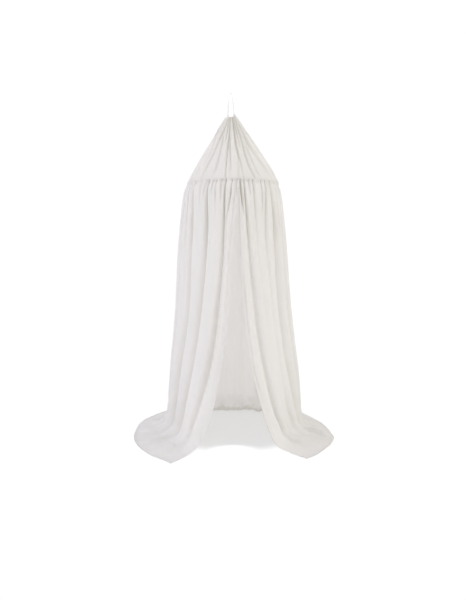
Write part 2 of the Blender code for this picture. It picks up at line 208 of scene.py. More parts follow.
# main folds: direction of the valley at seam, upper, middle, low, foot and
# floor; its depth at the same heights; how wide it is to the larger and to
# the smaller direction; columns of the mesh up to the next fold
FOLDS = [
    ("left edge", -6.6, -2.0, 1.2, 7.0, 12.6, 19.2,   0, 0, 0, 0, 0, 0,   1, 1, 12),
    ("L5", -3.4, 0.8, 3.4, 8.7, 14.4, 21.0,   .006, .006, .005, .003, .003, .002,   0.6, 0.5, 22),
    ("L4", 8.0, 7.2, 10.2, 15.3, 23.6, 31.0,   .019, .025, .028, .027, .030, .014,   0.8, 1.05, 36),
    ("L3", 28.4, 23.6, 26.4, 32.8, 42.0, 49.5,   .022, .032, .036, .040, .042, .014,   1.3, 0.8, 40),
    ("L2", 51.2, 46.5, 47.2, 55.0, 61.0, 66.0,   .024, .026, .030, .034, .038, .014,   1.0, 1.0, 34),
    ("L1", 69.7, 69.8, 72.0, 76.0, 81.0, 84.0,   .019, .020, .022, .024, .026, .012,   1.1, 0.9, 28),
    ("B1", 88.0, 88.0, 90.0, 94.0, 98.0, 101.0,   .016, .026, .032, .034, .038, .040,   0.9, 1.2, 24),
    ("B2", 107.0, 106.5, 108.0, 111.0, 115.0, 117.0,   .018, .029, .038, .042, .044, .042,   1.2, 0.9, 25),
    ("B3", 127.0, 126.0, 127.0, 129.0, 132.0, 133.0,   .015, .022, .028, .034, .036, .038,   1.0, 1.0, 24),
    ("B4", 145.0, 146.5, 148.0, 149.0, 150.0, 151.0,   .017, .026, .032, .036, .038, .036,   0.8, 1.2, 28),
    ("B5", 168.0, 169.0, 170.0, 171.0, 171.5, 172.0,   .012, .013, .014, .014, .013, .010,   1.1, 1.0, 27),
    ("B6", 190.0, 191.0, 191.5, 192.0, 192.5, 193.0,   .012, .013, .014, .014, .013, .010,   1.0, 0.9, 24),
    ("B7", 208.0, 209.0, 211.0, 213.0, 214.0, 215.0,   .019, .028, .036, .038, .038, .036,   0.9, 1.3, 26),
    ("B8", 229.0, 229.5, 230.0, 231.0, 232.0, 232.0,   .015, .022, .030, .038, .040, .040,   1.0, 1.0, 25),
    ("B9", 249.0, 249.0, 249.0, 249.0, 248.0, 247.0,   .017, .027, .034, .036, .038, .040,   1.2, 0.8, 24),
    ("B10", 268.0, 268.0, 267.0, 265.0, 263.0, 261.0,   .014, .023, .028, .032, .036, .036,   1.0, 1.1, 28),
    ("R5", 289.0, 289.0, 287.0, 283.0, 277.0, 274.0,   .013, .018, .022, .028, .032, .034,   1.0, 1.0, 36),
    ("R4", 310.6, 307.2, 305.6, 302.5, 292.5, 286.0,   .025, .042, .044, .042, .038, .014,   1.3, 1.6, 26),
    ("R3", 319.0, 324.5, 321.5, 317.0, 309.0, 298.0,   .021, .016, .009, .008, .012, .016,   1.0, 0.8, 32),
    ("R2", 336.5, 337.0, 333.5, 328.5, 319.5, 307.5,   .014, .009, .005, .004, .006, .010,   1.0, 1.0, 26),
    ("R1", 347.0, 345.4, 342.2, 338.0, 329.2, 317.0,   .018, .020, .021, .026, .030, .017,   0.75, 0.7, 22),
    ("right edge", 352.8, 352.7, 352.0, 348.2, 341.2, 335.4,   0, 0, 0, 0, 0, 0,   1, 1, 1),
]
# all depths above, and those of the creases below, are times this
DEEPER, CREASE_DEEPER = 1.50, 2.2
# half width of a valley of width 1, and how narrow its bottom is, by height
WIDE = [(0.05, .062), (0.20, .060), (0.50, .056), (0.90, .046), (1.30, .032),
        (1.46, .020), (1.58, .012), (1.647, .008)]
NARROW = [(0.05, 1.30), (0.50, 1.20), (0.90, 1.10), (1.30, 0.95), (1.50, 0.75),
          (1.62, 0.62)]
CRESTS = (0, 0, -.002, -.004, 0, -.003, 0, -.004, 0, -.005, 0, -.002, -.004,
          0, -.003, 0, -.004, 0, -.003, -.004, 0)
# further creases, each from the seam down: height, direction, depth, half
# width; a crease without depth at its last height runs out there
CREASES = {
    "wedge beside the opening": [
        (1.640, 351.3, .010, .006), (1.610, 351.2, .017, .009), (1.560, 350.9, .018, .011),
        (1.510, 350.1, .014, .011), (1.460, 349.6, .007, .010), (1.400, 349.2, .000, .009)],
    "beside the right edge": [
        (1.150, 351.4, .000, .006), (0.900, 349.7, .007, .007), (0.500, 346.6, .008, .008),
        (0.300, 341.6, .005, .010), (0.140, 336.8, .000, .012)],
    "right of the wedge": [
        (1.640, 341.8, .006, .005), (1.590, 341.6, .006, .007), (1.520, 341.2, .000, .009)],
    "V13": [
        (1.640, 324.8, .012, .006), (1.560, 325.6, .012, .009), (1.480, 327.4, .006, .011),
        (1.410, 328.6, .000, .012)],
    "V16": [
        (1.640, 299.6, .006, .006), (1.560, 299.2, .006, .010), (1.400, 298.0, .004, .016),
        (1.150, 296.5, .000, .020)],
    "left edge pleat": [
        (1.640, 355.4, .006, .005), (1.580, 355.6, .005, .006), (1.530, 356.0, .000, .007)],
    "V8": [
        (1.640, 0.6, .010, .006), (1.560, 1.3, .012, .009), (1.510, 2.2, .010, .010),
        (1.440, 3.8, .006, .011), (1.350, 5.6, .000, .012)],
    "V6": [
        (1.640, 13.4, .007, .005), (1.600, 12.8, .008, .008), (1.540, 11.6, .005, .010),
        (1.460, 10.4, .000, .011)],
    "V5b": [
        (1.640, 18.9, .006, .005), (1.580, 18.0, .006, .007), (1.500, 16.4, .004, .010),
        (1.380, 14.4, .000, .012)],
    "V5": [
        (1.640, 22.9, .006, .005), (1.600, 22.6, .005, .006), (1.540, 21.6, .000, .007)],
    "V4b": [
        (1.640, 32.6, .005, .005), (1.590, 32.4, .005, .007), (1.500, 31.4, .000, .009)],
    "V3": [
        (1.640, 40.8, .007, .006), (1.580, 39.2, .006, .009), (1.500, 36.6, .003, .011),
        (1.430, 35.2, .000, .012)],
    "V1": [
        (1.640, 61.6, .013, .006), (1.560, 59.8, .013, .011), (1.270, 58.6, .012, .020),
        (0.880, 55.6, .009, .026), (0.600, 54.6, .000, .030)],
    "seen through the opening, left": [
        (1.640, 176.5, .004, .009), (1.300, 177.5, .004, .018), (0.700, 178.5, .004, .026),
        (0.150, 179.0, .006, .030)],
    "seen through the opening, right": [
        (1.640, 198.0, .004, .009), (1.300, 199.0, .004, .018), (0.700, 200.5, .004, .026),
        (0.150, 201.0, .006, .030)],
    "left side": [
        (1.640, 79.0, .006, .006), (1.450, 79.5, .008, .014), (1.100, 81.0, .000, .020)],
    "left side, low": [
        (0.700, 83.0, .000, .020), (0.400, 86.0, .012, .030), (0.150, 89.5, .014, .034)],
    "left back": [
        (1.640, 117.0, .007, .007), (1.350, 116.5, .009, .016), (0.950, 118.0, .000, .022)],
    "left back, low": [
        (0.900, 138.5, .000, .020), (0.500, 139.5, .010, .028), (0.150, 141.0, .014, .034)],
    "back": [
        (1.640, 157.0, .007, .007), (1.250, 158.5, .011, .020), (0.800, 160.0, .000, .026)],
    "right back": [
        (1.640, 219.0, .007, .007), (1.350, 219.5, .009, .016), (0.950, 220.5, .000, .022)],
    "right back, low": [
        (0.850, 239.5, .000, .020), (0.500, 240.5, .011, .028), (0.150, 241.0, .014, .034)],
    "right side": [
        (1.640, 258.5, .006, .006), (1.400, 258.5, .009, .015), (1.000, 258.0, .000, .022)],
    "right side, low": [
        (0.800, 276.0, .000, .022), (0.450, 272.0, .010, .030), (0.150, 268.0, .012, .034)],
}
# edge of the hem on the floor: direction, radius
HEM = [
    (25.0, 0.836), (30.5, 0.811), (37.0, 0.795), (44.0, 0.773), (53.4, 0.742),
    (64.2, 0.708), (77.7, 0.666), (95.7, 0.638), (110.3, 0.608),
    (122.2, 0.592), (140.0, 0.556), (160.0, 0.510), (180.0, 0.490),
    (200.0, 0.504), (220.0, 0.546), (237.0, 0.580), (245.3, 0.575),
    (256.5, 0.583), (264.0, 0.603), (276.8, 0.640), (287.7, 0.679),
    (295.4, 0.719), (306.3, 0.748), (315.7, 0.772), (322.8, 0.796),
    (327.9, 0.807),
]
# ridges in the cloth that lies on the floor: place along the hem at the
# foot and at the hem, half width (m), start and end (0 foot, 1 hem), height
LYING = [
    (0.060, 0.050, 0.055, 0.0, 0.9, 0.008),
    (0.125, 0.120, 0.060, 0.0, 1.0, 0.010),
    (0.190, 0.200, 0.050, 0.1, 0.9, 0.010),
    (0.300, 0.305, 0.045, 0.0, 0.9, 0.012),
    (0.400, 0.395, 0.050, 0.0, 1.0, 0.014),
    (0.500, 0.505, 0.045, 0.0, 0.9, 0.016),
    (0.600, 0.590, 0.050, 0.0, 0.9, 0.012),
    (0.700, 0.705, 0.045, 0.0, 1.0, 0.010),
    (0.795, 0.850, 0.050, 0.05, 0.95, -0.022),
    (0.846, 0.876, 0.032, 0.0, 1.0, 0.028),
    (0.945, 0.935, 0.060, 0.0, 0.9, 0.008),
]
BEND = 0.13
TURN_ROWS, LIE_ROWS = 18, 26

# ------------------------------------------------------------------ skirt

FOLD_OF = np.concatenate([[i] * FOLDS[i][15] for i in range(len(FOLDS) - 1)]
                         + [[len(FOLDS) - 2]]).astype(int)
_s = [np.arange(f[15]) / f[15] for f in FOLDS[:-1]]
SHARE = np.append(np.concatenate(_s), 1.0)
# columns stand closer together in the valleys
SHARE = 0.62 * SHARE + 0.38 * (0.5 - 0.5 * np.cos(np.pi * SHARE))


def skirt_shape(z):
    """Direction (degrees) and radius of the hanging cloth, column by height."""
    z = np.atleast_1d(np.asarray(z, float))
    K, k, S = len(FOLDS), FOLD_OF, SHARE[:, None]

    def rows(first):
        return np.array([mono(HEIGHTS, [r[first + 5 - i] for i in range(6)], z)
                         for r in FOLDS])

    track, deep = rows(1), rows(7)
    for i in range(1, K - 1):
        seen = i <= 5 or i >= 17
        track[i] += (0.3 if seen else 0.9) * noise(z * 2.2, i * 7.3, 3) \
            * smooth(1.60, 1.3, z)
        deep[i] *= 1 + 0.25 * noise(z * 1.9, i * 3.1, 5) * smooth(1.6, 1.2, z)
    wide = mono(col(WIDE, 0), col(WIDE, 1), z)[None]
    power = mono(col(NARROW, 0), col(NARROW, 1), z)[None]
    Z = z[None, :]
    gap = track[k + 1] - track[k]
    D = track[k] + gap * S
    foot = mono(col(FOOT, 0), col(FOOT, 1), D)
    r = SEAM_R + (foot - SEAM_R) * mono(col(FLARE, 0), col(FLARE, 1), Z)
    r = np.where(Z > 1.6465, mono(col(TAB, 0), col(TAB, 1), Z),
                 r + 0.0016 * smooth(1.6464, 1.6440, Z))
    arc = np.radians(1.0) * r
    most = 0.5 * gap * arc
    up = np.array([f[13] for f in FOLDS])[:, None]
    down = np.array([f[14] for f in FOLDS])[:, None]
    ha = np.minimum(wide * up[k], most)
    hb = np.minimum(wide * down[k + 1], most)
    groove = DEEPER * (deep[k] * valley(gap * S * arc / ha, power)
                       + deep[k + 1] * valley(gap * (1 - S) * arc / hb, power))
    # uneven crests
    groove -= np.array(CRESTS)[k][:, None] * np.sin(np.pi * S) ** 2 \
        * smooth(1.60, 1.35, Z)
    for knots in CREASES.values():
        kz = col(knots, 0)[::-1]
        dc, dep, half = (mono(kz, col(knots, i)[::-1], z)[None] for i in (1, 2, 3))
        start = knots[0][0] > 1.6
        dep = dep * (1.0 if start else smooth(kz[-1] + 0.02, kz[-1] - 0.02, Z))
        dep = np.where(Z < kz[0], dep * smooth(0.0, kz[0], Z), dep)
        off = (D - dc + 180.0) % 360.0 - 180.0
        groove += np.where(Z > 1.3, CREASE_DEEPER, 1.3) * dep * valley(np.abs(off) * arc / half, 0.85)
    # short gathers right under the seam
    rng = np.random.default_rng(12)
    n = 124
    for i in range(n):
        at = -6.0 + 358.6 * (i + rng.uniform(0.15, 0.85)) / n
        size, length, half = rng.uniform(.0026, .0100), rng.uniform(.025, .130), \
            rng.uniform(.0042, .0066)
        off = (D - at + 180.0) % 360.0 - 180.0
        groove += size * valley(np.abs(off) * arc / half, 1.0) \
            * smooth(SEAM - length, SEAM - 0.3 * length, Z)
    # the stitches hold the cloth to the hoop's round
    groove *= 0.20 + 0.80 * smooth(1.6475, 1.637, Z)
    groove = np.where(Z > 1.634, np.minimum(groove, 0.0165), groove)
    groove *= np.where(Z > 1.6465, 1 - 0.5 * smooth(1.6465, TOP, Z), 1)
    bulge = smooth(1.60, 1.1, Z)
    inner = ((k > 0) & (k < K - 2))[:, None]
    D = D - np.where(inner, 0.030 * gap * np.sin(2 * np.pi * S), 0) * bulge
    return D, r - groove, groove


def skirt_points():
    z = np.concatenate([
        np.linspace(TOP, 1.648, 4), [1.6460, 1.6450, 1.6440, 1.6420, 1.6395],
        np.linspace(1.6365, 1.600, 10),
        np.linspace(1.600, 1.40, 25)[1:], np.linspace(1.40, 0.40, 54)[1:],
        np.linspace(0.40, BEND, 17)[1:]])
    D, r, deep = skirt_shape(z)
    a = np.radians(D)
    leanx = mono(col(LEAN, 0), col(LEAN, 1), z)[None]
    hang = np.stack([-leanx - r * np.sin(a), -r * np.cos(a),
                     np.broadcast_to(z[None], r.shape)], -1)

    # cloth's own width at each column, from the folded length
    at = [int(np.argmin(np.abs(z - h))) for h in (0.90, 0.35)]
    run = sum(np.linalg.norm(np.diff(hang[:, j], axis=0), axis=1) for j in at)
    width = float(run.sum() / 2)
    u = np.concatenate([[0], np.cumsum(run)]) / run.sum()

    # hem on the floor
    hd = np.linspace(HEM[0][0], HEM[-1][0], 2000)
    hr = mono(col(HEM, 0), col(HEM, 1), hd)
    h_a = np.radians(hd)
    hp = np.stack([-hr * np.sin(h_a), -hr * np.cos(h_a)], -1)
    hrun = np.concatenate([[0], np.cumsum(np.linalg.norm(np.diff(hp, axis=0), axis=1))])
    hem_length = float(hrun[-1])
    hem = np.stack([np.interp(u * hem_length, hrun, hp[:, i]) for i in (0, 1)], -1)

    fdir, fr, g0 = (x[:, 0] for x in skirt_shape(0.05))
    fa = np.radians(fdir)
    footp = np.stack([-fr * np.sin(fa), -fr * np.cos(fa)], -1)
    lift = 0.046 - np.clip(g0, 0, 0.046)                 # crests lie higher
    reach = np.linalg.norm(hem - footp, axis=1)
    share = np.minimum(0.12 / reach, 0.6)

    def on_floor(t):
        p = footp[:, None, :] + (hem - footp)[:, None, :] * t[..., None]
        low = np.zeros_like(t)
        for a0, a1, half, start, end, high in LYING:
            centre = a0 + (a1 - a0) * t
            x = np.abs(u[:, None] - centre) * hem_length / half
            bump = np.where(x < 1, (1 - np.minimum(x, 1) ** 2) ** 2, 0)
            low += high * bump * np.clip((end - t) / 0.3, 0, 1) \
                * smooth(start, start + 0.35, t)
        zz = 0.0022 + lift[:, None] * (0.50 * (1 - smooth(0.0, 0.60, t))
                                       + 0.30 * (1 - t) ** 1.5) + low
        return np.concatenate([p, np.maximum(zz, 0.0022)[..., None]], -1)

    start = hang[:, -1]
    end = on_floor(share[:, None])[:, 0]
    corner = np.stack([footp[:, 0], footp[:, 1], 0.30 * lift], -1)
    t = np.linspace(0, 1, TURN_ROWS + 1)[1:][None, :, None]
    turn = (start[:, None] * (1 - t) ** 2 + corner[:, None] * (2 * t * (1 - t))
            + end[:, None] * t ** 2)
    # at the back the cloth sags in, turns under and goes out again
    back = smooth(128, 156, fdir) * smooth(240, 212, fdir)
    inward = -footp / np.linalg.norm(footp, axis=1, keepdims=True)
    x = u * hem_length
    push = 0.042 + 0.036 * noise(x / 0.100, 0.3, 21) + 0.016 * noise(x / 0.037, 0.6, 23)
    push = np.maximum(push, 0.012)
    lip = 0.034 + 0.026 * noise(x / 0.070, 0.2, 24) + 0.010 * noise(x / 0.030, 0.4, 25)
    lip = np.maximum(lip, 0.014)
    under = 0.012 + 0.012 * noise(x / 0.060, 0.9, 26)
    tt = t[0, :, 0]
    f1 = np.clip(tt / 0.45, 0, 1)[None, :]
    f2 = np.clip((tt - 0.45) / 0.33, 0, 1)[None, :]
    f3 = np.clip((tt - 0.78) / 0.22, 0, 1)[None, :]
    off = push[:, None] * smooth(0, 1, f1) + (under - push)[:, None] * f2 ** 2
    fall = BEND + (lip[:, None] - BEND) * f1 + (0.004 - lip[:, None]) * f2
    over = np.empty_like(turn)
    for i in (0, 1):
        at_foot = start[:, None, i] + (footp[:, None, i] - start[:, None, i]) * f1
        contact = at_foot + inward[:, None, i] * off
        over[..., i] = contact + (end[:, None, i] - contact) * f3
    over[..., 2] = fall + (end[:, None, 2] - 0.004) * f3
    side = (1 - back) * (0.003 + 0.006 * noise(u * 22, 0.7, 22))
    bump = np.sin(np.pi * tt ** 1.15) ** 2
    turn[..., :2] += (inward * side[:, None])[:, None] * bump[None, :, None]
    turn = turn + (over - turn) * back[:, None, None]
    tl = np.linspace(0, 1, LIE_ROWS + 1)[1:]
    lie = on_floor(share[:, None] + (1 - share[:, None]) * tl[None, :])
    P = np.concatenate([hang, turn, lie], 1)
    kind = np.concatenate([np.zeros(len(z)), np.full(TURN_ROWS, 1.0),
                           np.full(LIE_ROWS, 2.0)])
    # painted shade: how much each point's colour is darkened, from its fold depth; stronger in the gathers
    # up top, fading out over the turn and the floor, and none at the back
    fade = np.concatenate([1 - 0.5 * tt, 0.5 * (1 - tl) ** 2])[None, :]
    deep = deep * (1 + 3.0 * smooth(1.15, 1.50, z))[None, :]
    deep = np.concatenate([deep, deep[:, -1:] * fade], 1) * (1 - back[:, None])
    # painted shade in the recess where the back cloth turns under
    turned = smooth(0.42, 0.55, tt) * smooth(1.0, 0.9, tt)
    deep[:, len(z):len(z) + TURN_ROWS] += 0.10 * turned[None, :] * back[:, None]
    return P, u, width, kind, back, deep


def along(run, want):
    """Where a length falls on each row of a table of running lengths."""
    i = np.clip((run < want).sum(-1) - 1, 0, run.shape[-1] - 2)
    a = np.take_along_axis(run, i[:, None], 1)[:, 0]
    b = np.take_along_axis(run, i[:, None] + 1, 1)[:, 0]
    return i, (want - a) / np.maximum(b - a, 1e-9)


def finish_skirt():
    P, u, width, kind, back, deep = skirt_points()
    C, R = P.shape[:2]
    step = np.linalg.norm(np.diff(P, axis=1), axis=2).mean(0)
    v = np.concatenate([[0], np.cumsum(step)])
    U, V = np.broadcast_arrays((u * width)[:, None], v[None, :])
    N = grid_normals(P)
    floor_part = smooth(0.35, 0.02, P[..., 2])
    lying = (kind == 2).astype(float)[None, :]
    top = smooth(0.012, 0.07, V)
    # soft long creases, crumples near the floor, light crinkle all over
    d = 0.0022 * noise(U / 0.030, V / 0.55, 31) * top
    d += 0.0026 * noise(U / 0.085, V / 0.34, 32) * top
    d += floor_part * 0.0042 * noise(U / 0.075, V / 0.085, 33)
    d += 0.0008 * noise(U / 0.014, V / 0.11, 34) * top
    rumpled = back[:, None] * smooth(0.085, 0.03, P[..., 2]) * (1 - lying)
    d += rumpled * (0.010 * noise(U / 0.055, V / 0.040, 35) + 0.005 * noise(U / 0.026, V / 0.03, 36))
    d *= 1 - 0.5 * lying
    P = P + N * d[..., None]
    P[..., 2] = np.maximum(P[..., 2], 0.0022)
    N = grid_normals(P)
    edge = np.minimum(np.minimum(U, width - U), v[-1] - V)
    sh = Sheet()
    ids = sh.add(world(P), U, V, edge, deep)
    sh.quads(ids)
    # hems turned to the inside, 18 mm wide
    hem_w = np.array([0.0006, 0.0025, 0.007, 0.0125, 0.018])
    gap = np.array([0.0006, 0.0011, 0.0012, 0.0012, 0.0010])

    def strip(A, B):
        """Points hem_w in from the first row of A, a little behind it."""
        A, B = np.swapaxes(A, 0, 1), np.swapaxes(B, 0, 1)
        run = np.concatenate([np.zeros((len(A), 1)), np.cumsum(
            np.linalg.norm(np.diff(A, axis=1), axis=2), axis=1)], 1)
        rows = []
        for wv, g in zip(hem_w, gap):
            i, f = along(run, wv)
            j = np.arange(len(A))
            p = A[j, i] * (1 - f)[:, None] + A[j, i + 1] * f[:, None]
            n = B[j, i] * (1 - f)[:, None] + B[j, i + 1] * f[:, None]
            p = p - n * g
            p[:, 2] = np.maximum(p[:, 2], 0.0009)
            rows.append(p)
        return np.array(rows)

    for side in (0, -1):
        order = slice(None) if side == 0 else slice(None, None, -1)
        F = strip(P[order][:20], N[order][:20])
        Uf = np.broadcast_to((-hem_w if side == 0 else width + hem_w)[:, None], (5, R))
        Vf = np.broadcast_to(v[None, :], (5, R))
        more = sh.add(world(F), Uf, Vf, np.broadcast_to(hem_w[:, None], (5, R)))
        rim = ids[:1] if side == 0 else ids[-1:]
        sh.quads(np.vstack([rim, more]), flip=(side == 0))
    F = strip(np.swapaxes(P[:, ::-1], 0, 1)[:10], np.swapaxes(N[:, ::-1], 0, 1)[:10])
    F = np.swapaxes(F, 0, 1)
    Uf = np.broadcast_to((u * width)[:, None], (C, 5))
    Vf = np.broadcast_to((v[-1] + hem_w)[None, :], (C, 5))
    more = sh.add(world(F), Uf, Vf, np.broadcast_to(hem_w[None, :], (C, 5)))
    sh.quads(np.hstack([ids[:, -1:], more]))
    return sh, width, float(v[-1])


# ------------------------------------------------------------------- roof

# height, radius, shift of the middle along X
ROOF = [
    (1.6466, 0.3054, 0.000), (1.650, 0.3042, 0.000), (1.661, 0.2992, 0.001),
    (1.681, 0.2885, 0.001), (1.721, 0.2675, 0.002), (1.761, 0.2440, 0.001),
    (1.800, 0.2200, -0.001), (1.840, 0.1945, -0.002), (1.880, 0.1690, -0.003),
    (1.919, 0.1435, -0.004), (1.958, 0.1180, -0.006), (1.998, 0.0935, -0.009),
    (2.037, 0.0690, -0.010), (2.056, 0.0560, -0.0105), (2.076, 0.0415, -0.011),
]
GATHER_Z = (1.665, 1.74, 1.81, 1.90, 1.98, 2.06)
# gathers of the cone: direction of the valley and depth at those heights,
# width to the larger and to the smaller direction
ROOF_FOLDS = [
    ("d", 9.3, 10.2, 10.4, 9.8, 8.4, 8.2,   .005, .009, .010, .011, .011, .009,   0.7, 0.7),
    ("b", 42.6, 39.6, 37.2, 36.0, 31.0, 24.5,   .005, .009, .011, .012, .012, .009,   1.0, 0.8),
    ("a", 72.0, 72.0, 71.0, 69.0, 63.0, 54.0,   .001, .003, .006, .010, .012, .009,   1.0, 1.0),
    ("s1", 93.0, 93.0, 94.0, 95.0, 93.0, 88.0,   .002, .005, .009, .012, .012, .009,   1.2, 0.9),
    ("s2", 116.0, 116.0, 117.0, 118.0, 118.0, 116.0,   .001, .005, .010, .013, .012, .009,   0.9, 1.1),
    ("s3", 139.0, 139.0, 139.0, 140.0, 140.0, 140.0,   .001, .003, .007, .011, .011, .009,   1.0, 1.0),
    ("s4", 161.0, 161.0, 160.0, 160.0, 161.0, 162.0,   .003, .007, .011, .013, .012, .009,   1.1, 0.8),
    ("s5", 184.0, 184.0, 183.0, 183.0, 183.0, 184.0,   .001, .004, .008, .012, .011, .009,   0.9, 1.0),
    ("s6", 206.0, 206.0, 206.0, 205.0, 205.0, 206.0,   .002, .006, .010, .012, .012, .009,   1.2, 1.0),
    ("s7", 229.0, 229.0, 228.0, 227.0, 227.0, 227.0,   .001, .003, .007, .011, .011, .009,   1.0, 0.9),
    ("s8", 251.0, 251.0, 250.0, 249.0, 248.0, 248.0,   .002, .005, .009, .012, .011, .007,   0.9, 1.2),
    ("s9", 271.0, 271.0, 271.0, 271.0, 272.0, 274.0,   .001, .003, .006, .009, .009, .005,   1.0, 1.0),
    ("s10", 289.0, 290.0, 293.0, 297.0, 299.0, 304.0,   .001, .003, .006, .009, .010, .006,   1.0, 1.0),
    ("i", 305.0, 311.0, 314.5, 320.0, 317.6, 324.5,   .001, .007, .011, .013, .013, .010,   1.4, 1.2),
    ("h", 333.4, 337.4, 338.2, 336.2, 334.8, 334.2,   .007, .010, .011, .012, .011, .009,   0.9, 0.8),
    ("f", 348.2, 348.6, 350.8, 352.6, 351.8, 351.4,   .003, .008, .010, .011, .011, .009,   1.1, 0.9),
]
ROOF_CREASES = {
    "a, low": [(1.970, 57.0, .010, .008), (1.900, 51.0, .009, .010), (1.810, 47.4, .006, .012),
               (1.720, 46.6, .000, .014)],
    "c": [(1.950, 27.0, .000, .006), (1.910, 25.2, .008, .007), (1.860, 23.2, .010, .009),
          (1.740, 23.9, .009, .011), (1.690, 24.2, .004, .011), (1.655, 24.3, .000, .011)],
    "d, second": [(2.060, 15.5, .006, .004), (2.000, 16.5, .008, .006), (1.930, 17.2, .005, .008),
                  (1.860, 17.4, .000, .010)],
    "e": [(1.950, 4.4, .000, .005), (1.900, 5.6, .008, .006), (1.840, 4.8, .009, .006),
          (1.740, 4.0, .007, .006), (1.670, 3.2, .000, .008)],
    "g": [(1.820, 350.0, .000, .008), (1.740, 352.8, .006, .009), (1.665, 353.5, .004, .010),
          (1.655, 353.6, .002, .010)],
    "j": [(1.900, 331.5, .000, .007), (1.830, 330.0, .008, .008), (1.740, 328.8, .008, .009),
          (1.680, 326.2, .004, .012), (1.655, 324.6, .000, .013)],
    "h, second": [(2.060, 343.2, .006, .004), (1.990, 343.6, .008, .006), (1.910, 344.2, .005, .008),
                  (1.830, 344.8, .000, .010)],
    "seam, left": [(1.760, 60.0, .000, .016), (1.700, 59.0, .005, .018), (1.655, 58.5, .002, .016)],
}
ROOF_WIDE = [(1.655, .011), (1.74, .0135), (1.81, .015), (1.90, .0145), (1.98, .0105),
             (2.076, .0062)]
ROOF_DEEPER = 2.3
PEAK_AT, PEAK_UP, PEAK_WIDE, PEAK_IN = 270.0, 0.029, 40.0, 0.0215
ROOF_STEPS = 30


